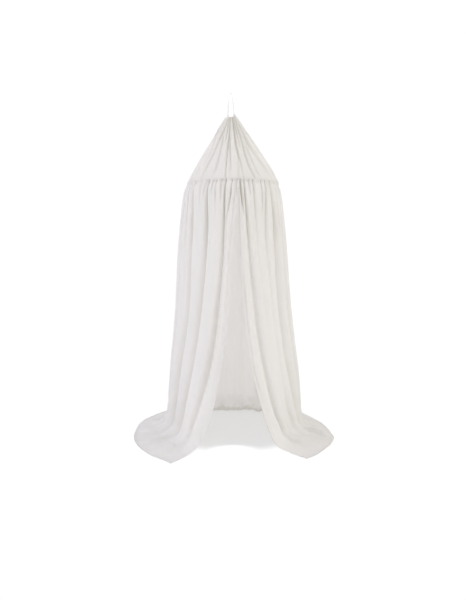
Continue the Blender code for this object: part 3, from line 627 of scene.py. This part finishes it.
def finish_roof():
    n = len(ROOF_FOLDS)
    k = np.repeat(np.arange(n), ROOF_STEPS)
    s = np.tile(np.arange(ROOF_STEPS) / ROOF_STEPS, n)
    s = 0.62 * s + 0.38 * (0.5 - 0.5 * np.cos(np.pi * s))
    low, high = ROOF[0][0], ROOF[-1][0]
    z = np.concatenate([[low, low + 0.0004, low + 0.0011], np.linspace(1.649, 1.665, 8),
                        np.linspace(1.665, 1.98, 56)[1:],
                        np.linspace(1.98, high, 26)[1:]])

    def tab(first):
        return np.array([mono(GATHER_Z, r[first:first + 6], z) for r in ROOF_FOLDS])

    d0, dep = tab(1), tab(7)
    nxt = (k + 1) % n
    wrap = np.where(k == n - 1, 360.0, 0.0)[:, None]
    S = s[:, None]
    Z = z[None, :]
    a, b = d0[k], d0[nxt] + wrap
    gap = b - a
    D = a + gap * S
    r = mono(col(ROOF, 0), col(ROOF, 1), z)[None, :]
    shift = mono(col(ROOF, 0), col(ROOF, 2), z)[None, :]
    arc = np.radians(1.0) * r
    wide = mono(col(ROOF_WIDE, 0), col(ROOF_WIDE, 1), z)[None]
    power = 0.95 - 0.25 * smooth(1.75, 2.0, Z)
    most = 0.5 * gap * arc
    up = np.array([f[13] for f in ROOF_FOLDS])[:, None]
    down = np.array([f[14] for f in ROOF_FOLDS])[:, None]
    ha, hb = np.minimum(wide * up[k], most), np.minimum(wide * down[nxt], most)
    groove = dep[k] * valley(gap * S * arc / ha, power) \
        + dep[nxt] * valley(gap * (1 - S) * arc / hb, power)
    groove = groove * ROOF_DEEPER
    for knots in ROOF_CREASES.values():
        kz = col(knots, 0)[::-1]
        dc, dp, half = (mono(kz, col(knots, i)[::-1], z)[None] for i in (1, 2, 3))
        dp = np.where((Z < kz[0]) & (knots[-1][2] > 0), dp * smooth(low, kz[0], Z), dp)
        off = (D - dc + 180.0) % 360.0 - 180.0
        groove += ROOF_DEEPER * dp * valley(np.abs(off) * arc / half, 0.85)
    # finer gathers that run out down the cone
    rng = np.random.default_rng(31)
    m = 54
    for i in range(m):
        at = 360.0 * (i + rng.uniform(0.2, 0.8)) / m
        size, end = rng.uniform(.0030, .0075), rng.uniform(1.80, 2.00)
        half = rng.uniform(.0035, .0055)
        off = (D - at + 180.0) % 360.0 - 180.0
        groove += size * valley(np.abs(off) * arc / half, 0.9) \
            * smooth(end, end + 0.09, Z) * smooth(2.10, 2.03, Z)
    groove = np.minimum(groove, 0.30 * r)
    # painted shade: the colour darkens in the cone's valleys, capped, and less near the neck
    deep = np.minimum(5.5 * groove * 0.22 / (r + 0.06), 0.12) * (1 - 0.55 * smooth(1.93, 2.06, Z))
    off = (D - PEAK_AT + 180.0) % 360.0 - 180.0
    near = np.maximum(0.0, 1 - (off / PEAK_WIDE) ** 2) ** 2
    t = (Z - low) / (high - low)
    topf = np.maximum(0.0, (t - 0.80) / 0.20) ** 2
    groove = groove * (1 - 0.8 * near * topf)
    r = r - groove - PEAK_IN * near * topf
    ang = np.radians(D)
    P = np.stack([shift - r * np.sin(ang), -r * np.cos(ang),
                  Z + PEAK_UP * near * topf], -1)
    # u along the seam, v up the cone, in metres
    around = np.radians(D[:, 0] - D[0, 0]) * 0.305
    slant = np.concatenate([[0], np.cumsum(
        np.linalg.norm(np.diff(P, axis=1), axis=2).mean(0))])
    U, V = np.broadcast_arrays(around[:, None], slant[None, :])
    N = grid_normals(P, closed=True) * -1.0
    N = np.where((N[..., :2] * P[..., :2]).sum(-1, keepdims=True) < 0, -N, N)
    pucker = smooth(0.045, 0.006, V) * smooth(-0.002, 0.004, V)
    d = 0.0006 * noise(U / 0.011, V / 0.03, 51) * pucker
    d += 0.0016 * noise(U / 0.05, V / 0.24, 52) * smooth(0.01, 0.06, V)
    d += 0.0010 * noise(U / 0.022, V / 0.12, 53) * smooth(0.01, 0.08, V)
    P = P + N * d[..., None]
    C = len(P)
    sh = Sheet()
    ids = sh.add(world(P), U, V, V.copy(), deep)
    sh.quads(ids, wrap=True, flip=True)
    # lower edge turned up inside, upper edge turned down inside the neck
    down_ = np.stack([P[:, 0] - N[:, 0] * 0.0004 + [0, 0, -0.0004],
                      P[:, 2] - N[:, 2] * 0.0008, P[:, 3] - N[:, 3] * 0.0008,
                      P[:, 5] - N[:, 5] * 0.0008], 1)
    wv = np.array([0.0004, 0.0025, 0.005, 0.0075])
    more = sh.add(world(down_), np.broadcast_to(around[:, None], (C, 4)),
                  np.broadcast_to(-wv[None], (C, 4)), np.broadcast_to(wv[None], (C, 4)))
    sh.quads(np.hstack([ids[:, :1], more]), wrap=True)
    centre = np.array([-0.011, 0.0])
    rim = P[:, -1]
    out = rim[:, :2] - centre
    size = np.linalg.norm(out, axis=1, keepdims=True)
    out = out / size
    cup = []
    for inn, dz in ((0.0007, 0.0007), (0.0018, 0.0004), (0.0026, -0.003),
                    (0.0034, -0.009), (0.0044, -0.016), (0.0050, -0.022)):
        q = rim.copy()
        q[:, :2] = centre + out * np.maximum(size - inn, 0.012)
        q[:, 2] += dz
        cup.append(q)
    cup = np.stack(cup, 1)
    cv = slant[-1] + np.array([0.001, 0.0022, 0.005, 0.011, 0.018, 0.024])
    more = sh.add(world(cup), np.broadcast_to(around[:, None], (C, 6)),
                  np.broadcast_to(cv[None], (C, 6)), np.full((C, 6), 0.05))
    sh.quads(np.hstack([ids[:, -1:], more]), wrap=True, flip=True)
    return sh, float(slant[-1])


# -------------------------------------------------------------- materials


class Nodes:
    def __init__(self, name):
        self.m = bpy.data.materials.new(name)
        self.m.use_nodes = True
        self.t = self.m.node_tree
        self.t.nodes.clear()
        self.out = self.t.nodes.new("ShaderNodeOutputMaterial")

    def new(self, kind, **props):
        n = self.t.nodes.new(kind)
        for k_, v_ in props.items():
            setattr(n, k_, v_)
        return n

    def link(self, a, b):
        self.t.links.new(a, b)

    def math(self, op, a, b=None, clamp=False):
        n = self.new("ShaderNodeMath", operation=op, use_clamp=clamp)
        for i, x in enumerate((a, b)):
            if x is None:
                continue
            if isinstance(x, (int, float)):
                n.inputs[i].default_value = x
            else:
                self.link(x, n.inputs[i])
        return n.outputs[0]

    def scaled(self, uv, sx, sy, dx=0.0, dy=0.0):
        n = self.new("ShaderNodeMapping")
        n.inputs["Scale"].default_value = (sx, sy, 1)
        n.inputs["Location"].default_value = (dx, dy, 0)
        self.link(uv, n.inputs["Vector"])
        return n.outputs[0]

    def noise(self, vec, scale=1.0, detail=2.0, rough=0.5):
        n = self.new("ShaderNodeTexNoise", noise_dimensions="2D")
        n.inputs["Scale"].default_value = scale
        n.inputs["Detail"].default_value = detail
        n.inputs["Roughness"].default_value = rough
        self.link(vec, n.inputs["Vector"])
        return n.outputs["Fac"]


# how fast the colour goes over to the painted shade of a fold, per metre of depth
PAINTED_FOLD_SHADE = 6.5


def cotton(name, light, dark, through, stitch_at=0.016):
    """Thin plain-woven cotton: lets light through, faint slubs and crinkle."""
    n = Nodes(name)
    uv = n.new("ShaderNodeUVMap", uv_map="cloth").outputs[0]
    # colour: long uneven threads both ways, broad soft patches
    warp = n.noise(n.scaled(uv, 520, 9), detail=2)
    weft = n.noise(n.scaled(uv, 14, 560, 3, 7), detail=2)
    patch = n.noise(n.scaled(uv, 7, 4, 1, 2), detail=3)
    mix = n.math("ADD", n.math("MULTIPLY", warp, 0.34), n.math("MULTIPLY", weft, 0.34))
    mix = n.math("ADD", mix, n.math("MULTIPLY", patch, 0.32))
    ramp = n.new("ShaderNodeValToRGB")
    ramp.color_ramp.elements[0].position = 0.34
    ramp.color_ramp.elements[0].color = (*dark, 1)
    ramp.color_ramp.elements[1].position = 0.62
    ramp.color_ramp.elements[1].color = (*light, 1)
    n.link(mix, ramp.inputs[0])
    # a row of stitches along the hems
    hem = n.new("ShaderNodeAttribute", attribute_name="hem").outputs["Fac"]
    near = n.math("SUBTRACT", 1.0, n.math("MULTIPLY", n.math(
        "ABSOLUTE", n.math("SUBTRACT", hem, stitch_at)), 1400.0), clamp=True)
    sep = n.new("ShaderNodeSeparateXYZ")
    n.link(uv, sep.inputs[0])
    both = n.math("ADD", sep.outputs[0], sep.outputs[1])
    dash = n.math("GREATER_THAN", n.math("FRACT", n.math("MULTIPLY", both, 360.0)), 0.32)
    stitch = n.math("MULTIPLY", near, dash)
    # painted shade: the colour darkens a little along the stitch line's small groove
    shade = n.new("ShaderNodeMix", data_type="RGBA", blend_type="MULTIPLY")
    n.link(ramp.outputs[0], shade.inputs[6])
    shade.inputs[7].default_value = (0.86, 0.85, 0.83, 1)
    n.link(n.math("MULTIPLY", near, 0.18), shade.inputs[0])
    # painted shade: deep in a fold the colour is made darker and more yellow, standing in for the shade
    # that falls there
    deep = n.new("ShaderNodeAttribute", attribute_name="fold").outputs["Fac"]
    fold = n.new("ShaderNodeMix", data_type="RGBA", blend_type="MULTIPLY")
    n.link(shade.outputs[2], fold.inputs[6])
    fold.inputs[7].default_value = (0.80, 0.795, 0.735, 1)
    n.link(n.math("MULTIPLY", deep, PAINTED_FOLD_SHADE, clamp=True), fold.inputs[0])
    colour = fold.outputs[2]
    # relief: weave, slubs, crinkle
    weave_u = n.new("ShaderNodeTexWave", wave_type="BANDS", bands_direction="X")
    n.link(n.scaled(uv, 1, 1), weave_u.inputs["Vector"])
    weave_u.inputs["Scale"].default_value = 330
    weave_v = n.new("ShaderNodeTexWave", wave_type="BANDS", bands_direction="Y")
    n.link(n.scaled(uv, 1, 1), weave_v.inputs["Vector"])
    weave_v.inputs["Scale"].default_value = 300
    weave = n.math("MULTIPLY", weave_u.outputs["Fac"], weave_v.outputs["Fac"])
    crinkle = n.noise(n.scaled(uv, 52, 15), detail=4, rough=0.55)
    fine = n.noise(n.scaled(uv, 170, 70, 5, 5), detail=3)
    b1 = n.new("ShaderNodeBump")
    b1.inputs["Strength"].default_value = 0.5
    b1.inputs["Distance"].default_value = 0.0035
    n.link(crinkle, b1.inputs["Height"])
    b2 = n.new("ShaderNodeBump")
    b2.inputs["Strength"].default_value = 0.4
    b2.inputs["Distance"].default_value = 0.0009
    n.link(fine, b2.inputs["Height"])
    n.link(b1.outputs[0], b2.inputs["Normal"])
    b3 = n.new("ShaderNodeBump")
    b3.inputs["Strength"].default_value = 0.35
    b3.inputs["Distance"].default_value = 0.0003
    n.link(n.math("ADD", weave, n.math("ADD", warp, weft)), b3.inputs["Height"])
    n.link(b2.outputs[0], b3.inputs["Normal"])
    b4 = n.new("ShaderNodeBump", invert=True)
    b4.inputs["Strength"].default_value = 0.6
    b4.inputs["Distance"].default_value = 0.0008
    n.link(n.math("ADD", n.math("MULTIPLY", near, 0.7), n.math("MULTIPLY", stitch, -0.5)),
           b4.inputs["Height"])
    n.link(b3.outputs[0], b4.inputs["Normal"])
    p = n.new("ShaderNodeBsdfPrincipled")
    p.inputs["Roughness"].default_value = 0.88
    p.inputs["Specular IOR Level"].default_value = 0.15
    p.inputs["Sheen Weight"].default_value = 0.04
    p.inputs["Sheen Roughness"].default_value = 0.5
    n.link(colour, p.inputs["Base Color"])
    n.link(b4.outputs[0], p.inputs["Normal"])
    # light that comes through the cloth turns a little warmer
    warm = n.new("ShaderNodeMix", data_type="RGBA", blend_type="MULTIPLY")
    warm.inputs[0].default_value = 1.0
    warm.inputs[7].default_value = (1.0, 0.997, 0.965, 1)
    n.link(colour, warm.inputs[6])
    tr = n.new("ShaderNodeBsdfTranslucent")
    n.link(warm.outputs[2], tr.inputs["Color"])
    n.link(b2.outputs[0], tr.inputs["Normal"])
    ms = n.new("ShaderNodeMixShader")
    ms.inputs[0].default_value = through
    n.link(p.outputs[0], ms.inputs[1])
    n.link(tr.outputs[0], ms.inputs[2])
    n.link(ms.outputs[0], n.out.inputs["Surface"])
    return n.m


def tape_material():
    n = Nodes("woven_tape")
    uv = n.new("ShaderNodeUVMap", uv_map="cloth").outputs[0]
    sep = n.new("ShaderNodeSeparateXYZ")
    n.link(uv, sep.inputs[0])
    # herringbone: slanted ribs that change side every quarter of the width
    zig = n.math("PINGPONG", n.math("MULTIPLY", sep.outputs[0], 1.0), 0.0025)
    rib = n.math("SINE", n.math("MULTIPLY", n.math("ADD", zig, sep.outputs[1]), 5200.0))
    rough = n.noise(n.scaled(uv, 900, 260), detail=2)
    ramp = n.new("ShaderNodeValToRGB")
    ramp.color_ramp.elements[0].position = 0.2
    ramp.color_ramp.elements[0].color = (0.83, 0.84, 0.84, 1)
    ramp.color_ramp.elements[1].position = 0.8
    ramp.color_ramp.elements[1].color = (0.92, 0.925, 0.92, 1)
    n.link(n.math("ADD", n.math("MULTIPLY", rib, 0.15), rough), ramp.inputs[0])
    b = n.new("ShaderNodeBump")
    b.inputs["Strength"].default_value = 0.6
    b.inputs["Distance"].default_value = 0.0003
    n.link(rib, b.inputs["Height"])
    p = n.new("ShaderNodeBsdfPrincipled")
    p.inputs["Roughness"].default_value = 0.85
    p.inputs["Specular IOR Level"].default_value = 0.2
    n.link(ramp.outputs[0], p.inputs["Base Color"])
    n.link(b.outputs[0], p.inputs["Normal"])
    n.link(p.outputs[0], n.out.inputs["Surface"])
    return n.m


def hoop_material():
    n = Nodes("hoop_coat")
    co = n.new("ShaderNodeTexCoord").outputs["Object"]
    tx = n.new("ShaderNodeTexNoise")
    tx.inputs["Scale"].default_value = 60
    tx.inputs["Detail"].default_value = 3
    n.link(co, tx.inputs["Vector"])
    ramp = n.new("ShaderNodeValToRGB")
    ramp.color_ramp.elements[0].color = (0.76, 0.75, 0.72, 1)
    ramp.color_ramp.elements[1].color = (0.84, 0.83, 0.80, 1)
    n.link(tx.outputs["Fac"], ramp.inputs[0])
    b = n.new("ShaderNodeBump")
    b.inputs["Strength"].default_value = 0.15
    b.inputs["Distance"].default_value = 0.0004
    n.link(tx.outputs["Fac"], b.inputs["Height"])
    p = n.new("ShaderNodeBsdfPrincipled")
    p.inputs["Roughness"].default_value = 0.42
    n.link(ramp.outputs[0], p.inputs["Base Color"])
    n.link(b.outputs[0], p.inputs["Normal"])
    n.link(p.outputs[0], n.out.inputs["Surface"])
    return n.m


# ------------------------------------------------------------------ pieces

LIGHT, DARK = (0.917, 0.909, 0.912), (0.897, 0.886, 0.880)

skirt_sheet, skirt_w, skirt_l = finish_skirt()
skirt_mat = cotton("skirt_voile", LIGHT, DARK, 0.45)
skirt = skirt_sheet.build("skirt_cloth", skirt_mat)
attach(skirt, "root")
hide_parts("skirt")

roof_sheet, roof_l = finish_roof()
roof_mat = cotton("roof_voile", LIGHT, DARK, 0.56, stitch_at=0.0045)
roof = roof_sheet.build("roof_cloth", roof_mat)
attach(roof, "root")
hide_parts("roof")

# hoop
HOOP_R, HOOP_TUBE = 0.2800, 0.0050


def make_hoop(n=192, m=16):
    a = np.linspace(0, 2 * np.pi, n, endpoint=False)[:, None]
    b = np.linspace(0, 2 * np.pi, m, endpoint=False)[None, :]
    r = HOOP_R + HOOP_TUBE * np.cos(b)
    P = np.stack([r * np.cos(a), r * np.sin(a),
                  SEAM - 0.004 + HOOP_TUBE * np.sin(b) + 0 * a], -1)
    ids = np.arange(n * m).reshape(n, m)
    i2, j2 = np.roll(ids, -1, 0), np.roll(ids, -1, 1)
    f = np.stack([ids, i2, np.roll(i2, -1, 1), j2], -1).reshape(-1, 4)
    me = bpy.data.meshes.new("hoop_ring")
    me.from_pydata(world(P).reshape(-1, 3).tolist(), [], f.tolist())
    me.update()
    me.shade_smooth()
    me.materials.append(hoop_material())
    ob = bpy.data.objects.new("hoop_ring", me)
    bpy.context.scene.collection.objects.link(ob)
    return ob


hoop = make_hoop()
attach(hoop, "root")
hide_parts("hoop")

# tape loop: place and turn (degrees) along it
TAPE_W, TAPE_T = 0.0100, 0.0012
TAPE = [
    (-0.0200, 0.004, -0.176, 0), (-0.0198, 0.003, -0.150, 6),
    (-0.0192, 0.002, -0.124, 18), (-0.0180, 0.001, -0.096, 38),
    (-0.0160, 0.000, -0.068, 62), (-0.0134, 0.000, -0.042, 82),
    (-0.0104, 0.000, -0.020, 90), (-0.0074, 0.000, -0.0070, 90),
    (-0.0040, 0.000, -0.0008, 90), (0.0000, 0.000, 0.0006, 90),
    (0.0040, 0.000, -0.0008, 90), (0.0074, 0.000, -0.0070, 90),
    (0.0104, 0.000, -0.020, 92), (0.0134, 0.000, -0.042, 104),
    (0.0160, 0.000, -0.068, 124), (0.0182, 0.000, -0.096, 128),
    (0.0192, 0.000, -0.124, 108), (0.0194, 0.000, -0.150, 90),
    (0.0186, 0.000, -0.172, 88),
]


def make_tape(parts=9):
    n = (len(TAPE) - 1) * parts + 1
    x = np.arange(n) / parts
    T = np.stack([mono(np.arange(len(TAPE)), col(TAPE, i), x) for i in range(4)], -1)
    for _ in range(3):
        T[1:-1, :3] = 0.5 * T[1:-1, :3] + 0.25 * (T[:-2, :3] + T[2:, :3])
    run = np.gradient(T[:, :3], axis=0)
    run /= np.linalg.norm(run, axis=1, keepdims=True)
    a = np.radians(T[:, 3])
    wide = np.stack([np.cos(a), np.sin(a), 0 * a], -1)
    wide -= run * (wide * run).sum(1, keepdims=True)
    wide /= np.linalg.norm(wide, axis=1, keepdims=True)
    flat = np.cross(run, wide)
    long = np.concatenate([[0], np.cumsum(np.linalg.norm(np.diff(T[:, :3], axis=0), axis=1))])
    # woven tape: flat with rounded selvedges
    sec = [(-1, 0.0), (-0.96, -0.75), (-0.82, -1), (-0.4, -0.94), (0, -0.92), (0.4, -0.94),
           (0.82, -1), (0.96, -0.75), (1, 0), (0.96, 0.75), (0.82, 1), (0.4, 0.94),
           (0, 0.92), (-0.4, 0.94), (-0.82, 1), (-0.96, 0.75)]
    m = len(sec)
    P = np.zeros((n, m, 3))
    uv = np.zeros((n, m, 2))
    for j, (sx, sy) in enumerate(sec):
        P[:, j] = T[:, :3] + wide * (sx * TAPE_W / 2) + flat * (sy * TAPE_T / 2 * 0.85)
        uv[:, j] = np.stack([np.full(n, sx * TAPE_W / 2 + 0.01), long], -1)
    ids = np.arange(n * m).reshape(n, m)
    i2 = ids[1:]
    f = np.stack([ids[:-1], i2, np.roll(i2, -1, 1), np.roll(ids[:-1], -1, 1)], -1)
    f = f.reshape(-1, 4)[:, ::-1]
    faces = f.tolist() + [ids[0][::-1].tolist()[::-1], ids[-1].tolist()[::-1]]
    me = bpy.data.meshes.new("hanging_tape")
    me.from_pydata(P.reshape(-1, 3).tolist(), [], faces)
    me.update()
    layer = me.uv_layers.new(name="cloth")
    flatuv = uv.reshape(-1, 2)
    idx = np.zeros(len(me.loops), np.int32)
    me.loops.foreach_get("vertex_index", idx)
    layer.data.foreach_set("uv", flatuv[idx].astype(np.float32).ravel())
    me.shade_smooth()
    me.materials.append(tape_material())
    ob = bpy.data.objects.new("hanging_tape", me)
    bpy.context.scene.collection.objects.link(ob)
    return ob, float(long[-1])


tape, tape_len = make_tape()
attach(tape, "root")
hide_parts("hanging_loop")

# ------------------------------------------------------------------- stage


def floor_material():
    """Pale matt floor that goes over into the white studio round it."""
    n = Nodes("floor_paint")
    co = n.new("ShaderNodeTexCoord").outputs["Object"]
    away = n.new("ShaderNodeVectorMath", operation="LENGTH")
    n.link(co, away.inputs[0])
    # painted shadow: the floor's material itself draws the shade under the canopy, which ends in an arch
    # between the two front edges and before the hem elsewhere
    sep = n.new("ShaderNodeSeparateXYZ")
    n.link(co, sep.inputs[0])
    across = n.math("MULTIPLY", sep.outputs[0], sep.outputs[0])
    arch = n.math("ADD", n.math("MULTIPLY", across, 4.0), 0.455)
    soft = n.math("ADD", n.math("MULTIPLY", across, 3.0), 0.030)
    front = n.math("SUBTRACT", n.math("MULTIPLY", sep.outputs[1], -1.0), arch)
    front = n.math("ADD", n.math("DIVIDE", front, soft), 1.0, clamp=True)
    round_ = n.new("ShaderNodeMapRange", interpolation_type="SMOOTHSTEP")
    round_.inputs["From Min"].default_value = 0.46
    round_.inputs["From Max"].default_value = 0.60
    n.link(away.outputs["Value"], round_.inputs["Value"])
    white = n.math("MAXIMUM", front, round_.outputs[0])
    # to the camera the floor mostly glows: white outside the painted shadow, a fixed lower level inside it
    path = n.new("ShaderNodeLightPath")
    share = n.math("MULTIPLY", n.math("ADD", n.math("MULTIPLY", white, 0.40), 0.60),
                   path.outputs["Is Camera Ray"])
    grain = n.new("ShaderNodeTexNoise")
    grain.inputs["Scale"].default_value = 3.0
    n.link(co, grain.inputs["Vector"])
    ramp = n.new("ShaderNodeValToRGB")
    ramp.color_ramp.elements[0].color = (0.90, 0.90, 0.91, 1)
    ramp.color_ramp.elements[1].color = (0.92, 0.92, 0.925, 1)
    n.link(grain.outputs["Fac"], ramp.inputs[0])
    d = n.new("ShaderNodeBsdfDiffuse")
    n.link(ramp.outputs[0], d.inputs["Color"])
    e = n.new("ShaderNodeEmission")
    e.inputs["Color"].default_value = (1, 1, 1, 1)
    n.link(n.math("ADD", n.math("MULTIPLY", white, 0.21), 0.81), e.inputs["Strength"])
    ms = n.new("ShaderNodeMixShader")
    n.link(share, ms.inputs[0])
    n.link(d.outputs[0], ms.inputs[1])
    n.link(e.outputs[0], ms.inputs[2])
    n.link(ms.outputs[0], n.out.inputs["Surface"])
    return n.m


me = bpy.data.meshes.new("studio_floor")
nr, na = 24, 64
rad = np.concatenate([[0.0], np.geomspace(0.4, 60.0, nr)])
pts = [(0.0, 0.0, 0.0)]
for q in rad[1:]:
    for i in range(na):
        t_ = 2 * math.pi * i / na
        pts.append((q * math.cos(t_), q * math.sin(t_), 0.0))
fc = [(0, 1 + i, 1 + (i + 1) % na) for i in range(na)]
for q in range(nr - 1):
    for i in range(na):
        a0, a1 = 1 + q * na + i, 1 + q * na + (i + 1) % na
        fc.append((a0, a0 + na, a1 + na, a1))
me.from_pydata(pts, [], fc)
me.update()
me.materials.append(floor_material())
floor_ob = bpy.data.objects.new("studio_floor", me)
floor_ob.location = (AXIS_X, 0, FLOOR)
bpy.context.scene.collection.objects.link(floor_ob)

SKY_FRONT, SKY_BACK = 0.62, 1.04

scene = bpy.context.scene
w = bpy.data.worlds.new("studio")
scene.world = w
w.use_nodes = True
t = w.node_tree
t.nodes.clear()
out = t.nodes.new("ShaderNodeOutputWorld")
seen = t.nodes.new("ShaderNodeBackground")
seen.inputs[0].default_value = (1, 1, 1, 1)
seen.inputs[1].default_value = 1.02
sky = t.nodes.new("ShaderNodeBackground")
# the studio's wall behind the canopy is brighter than the room in front
where = t.nodes.new("ShaderNodeTexCoord")
parts_ = t.nodes.new("ShaderNodeSeparateXYZ")
t.links.new(where.outputs["Generated"], parts_.inputs[0])
level = t.nodes.new("ShaderNodeMapRange")
level.interpolation_type = "SMOOTHSTEP"
level.inputs["From Min"].default_value = -0.9
level.inputs["From Max"].default_value = 0.9
level.inputs["To Min"].default_value = SKY_FRONT
level.inputs["To Max"].default_value = SKY_BACK
t.links.new(parts_.outputs[1], level.inputs["Value"])
t.links.new(level.outputs[0], sky.inputs[1])
# cooler from the left, warmer from the right
across = t.nodes.new("ShaderNodeMapRange")
across.inputs["From Min"].default_value = -0.8
across.inputs["From Max"].default_value = 0.8
t.links.new(parts_.outputs[0], across.inputs["Value"])
tint = t.nodes.new("ShaderNodeMix")
tint.data_type = "RGBA"
tint.inputs[6].default_value = (0.960, 0.948, 1.070, 1)
tint.inputs[7].default_value = (1.000, 0.984, 0.885, 1)
t.links.new(across.outputs[0], tint.inputs[0])
t.links.new(tint.outputs[2], sky.inputs[0])
path = t.nodes.new("ShaderNodeLightPath")
mixw = t.nodes.new("ShaderNodeMixShader")
t.links.new(path.outputs["Is Camera Ray"], mixw.inputs[0])
t.links.new(sky.outputs[0], mixw.inputs[1])
t.links.new(seen.outputs[0], mixw.inputs[2])
t.links.new(mixw.outputs[0], out.inputs[0])


def area_light(name, place, aim, size, power, colour):
    li = bpy.data.lights.new(name, "AREA")
    li.shape = "RECTANGLE"
    li.size, li.size_y = size
    li.energy = power
    li.color = colour
    ob = bpy.data.objects.new(name, li)
    ob.location = (place[0] + AXIS_X, place[1], place[2] - EYE)
    to = Vector((aim[0] + AXIS_X, aim[1], aim[2] - EYE)) - ob.location
    ob.rotation_euler = to.to_track_quat("-Z", "Y").to_euler()
    scene.collection.objects.link(ob)
    return ob


area_light("window_left", (-3.9, -2.4, 1.3), (0, 0, 0.9), (1.6, 2.4), 29.5, (0.90, 0.91, 1.0))
area_light("lamp_right", (3.9, -2.4, 0.9), (0, 0, 0.9), (1.6, 1.7), 27.5, (1.0, 0.96, 0.83))
area_light("front_fill", (-0.2, -4.6, 2.7), (0, 0, 0.7), (2.2, 1.4), 20, (1.0, 0.99, 0.985))
area_light("ceiling", (0.0, -0.2, 4.6), (0, 0, 0.6), (4.0, 4.0), 54, (0.975, 0.97, 1.0))

# ------------------------------------------------------------------ camera

cam = bpy.data.cameras.new("camera")
cam.sensor_width = 36.0
cam.lens = 36.0 * 588.83 / 600.0
cam.clip_start, cam.clip_end = 0.05, 200
co = bpy.data.objects.new("camera", cam)
co.location = (AXIS_X, -4.0, 1.22686 - EYE)
co.rotation_euler = (math.radians(90 - 5.191), 0, 0)
scene.collection.objects.link(co)
scene.camera = co
scene.view_settings.view_transform = "Standard"
